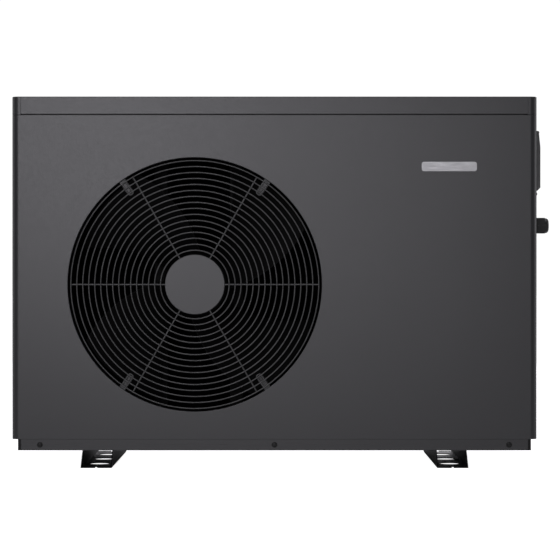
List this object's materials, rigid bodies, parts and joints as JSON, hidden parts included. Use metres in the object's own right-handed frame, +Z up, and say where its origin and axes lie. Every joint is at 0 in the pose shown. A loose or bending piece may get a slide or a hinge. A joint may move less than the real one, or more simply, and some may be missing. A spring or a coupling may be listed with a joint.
{
  "type": "swimming-pool heat pump",
  "caption": "Air-source swimming-pool heat pump: graphite sheet casing with a round wire fan guard, side controller under a hinged lid, cable gland, rear water unions and pressed feet.",
  "frame": {"origin": "centre of the four anchor holes in the feet, in the plane the feet stand on", "axes": "+Z up, +X to the right seen from the front, and the front with the fan guard looks along -Y"},
  "size_m": [0.962, 0.3932, 0.658],
  "materials": {
    "panel_paint": "satin graphite powder coat with a fine grain",
    "base_paint": "satin graphite powder coat",
    "foot_paint": "satin dark powder coat",
    "guard_wire": "dark plastic-dipped steel wire",
    "black_plastic": "moulded black plastic",
    "grey_plastic": "moulded graphite plastic",
    "fan_plastic": "moulded black fan",
    "steel": "machined steel",
    "screw": "blackened screw",
    "zinc": "galvanised sheet",
    "chassis_paint": "flat black enamel",
    "fin": "black coated fin stock",
    "copper": "copper tube",
    "brass": "machined brass",
    "compressor_paint": "gloss black enamel",
    "rubber": "moulded rubber",
    "pvc": "grey PVC",
    "board": "green circuit board",
    "display": "dark display window",
    "button": "silicone key"
  },
  "bodies": {
    "casing": {"accumulator": "compressor_paint", "base_pan": "base_paint", "cable_gland": "black_plastic", "cable_gland_locknut": "black_plastic", "cable_gland_nut": "black_plastic", "cable_gland_seal": "rubber", "circuit_board": "board", "coil_gas_pipe": "copper", "coil_liquid_pipe": "copper", "compressor": "compressor_paint", "compressor_grommets": "rubber", "compressor_studs": "steel", "control_box": "zinc", "controller_bezel": "grey_plastic", "controller_board": "board", "controller_display": "display", "discharge_pipe": "copper", "drain_nozzle": "black_plastic", "evaporator_fins": "fin", "evaporator_tubes": "copper", "exchanger_gas_pipe": "copper", "expansion_valve": "brass", "fan_guard": "guard_wire", "fan_motor": "chassis_paint", "fan_shroud": "black_plastic", "foot_bolts": "steel", "foot_left": "foot_paint", "foot_right": "foot_paint", "four_way_valve": "brass", "front_panel": "panel_paint", "guard_hub_plate": "panel_paint", "heat_sink": "zinc", "left_side_panel": "panel_paint", "lid_hinge_pin": "steel", "liquid_pipe": "copper", "motor_bracket": "chassis_paint", "pan_screws": "screw", "partition_plate": "chassis_paint", "rear_coil_guard": "black_plastic", "rear_service_panel": "panel_paint", "right_side_panel": "panel_paint", "suction_pipe": "copper", "terminal_block": "black_plastic", "top_cover": "panel_paint", "union_seals": "rubber", "union_tail_inlet": "pvc", "union_tail_outlet": "pvc", "water_heat_exchanger": "pvc", "water_stub_inlet": "pvc", "water_stub_outlet": "pvc"},
    "fan": {"fan_blade": "fan_plastic", "motor_shaft": "steel", "fan_nut": "steel"},
    "lid": {"controller_lid": "grey_plastic"},
    "power_button": {"button_power": "button"},
    "mode_button": {"button_mode": "button"},
    "up_button": {"button_up": "button"},
    "down_button": {"button_down": "button"},
    "inlet_nut": {"union_nut_inlet": "black_plastic"},
    "outlet_nut": {"union_nut_outlet": "black_plastic"}
  },
  "joints": [
    {"name": "fan_spin", "type": "hinge", "parent": "casing", "child": "fan", "pos_m": [-0.1412, -0.105, 0.325], "axis": [0, 1, 0], "continuous": true},
    {"name": "lid_hinge", "type": "hinge", "parent": "casing", "child": "lid", "pos_m": [0.4726, -0.06, 0.5978], "axis": [0, -1, 0], "range_deg": [0, 110]},
    {"name": "power_press", "type": "slide", "parent": "casing", "child": "power_button", "axis": [-1, 0, 0], "range_m": [0, 0.0015], "stiffness_N_per_m": 500, "springref_m": -0.0005},
    {"name": "mode_press", "type": "slide", "parent": "casing", "child": "mode_button", "axis": [-1, 0, 0], "range_m": [0, 0.0015], "stiffness_N_per_m": 500, "springref_m": -0.0005},
    {"name": "up_press", "type": "slide", "parent": "casing", "child": "up_button", "axis": [-1, 0, 0], "range_m": [0, 0.0015], "stiffness_N_per_m": 500, "springref_m": -0.0005},
    {"name": "down_press", "type": "slide", "parent": "casing", "child": "down_button", "axis": [-1, 0, 0], "range_m": [0, 0.0015], "stiffness_N_per_m": 500, "springref_m": -0.0005},
    {"name": "inlet_nut_turn", "type": "hinge", "parent": "casing", "child": "inlet_nut", "pos_m": [0.365, 0.188, 0.13], "axis": [0, 1, 0], "continuous": true},
    {"name": "outlet_nut_turn", "type": "hinge", "parent": "casing", "child": "outlet_nut", "pos_m": [0.365, 0.188, 0.37], "axis": [0, 1, 0], "continuous": true}
  ]
}
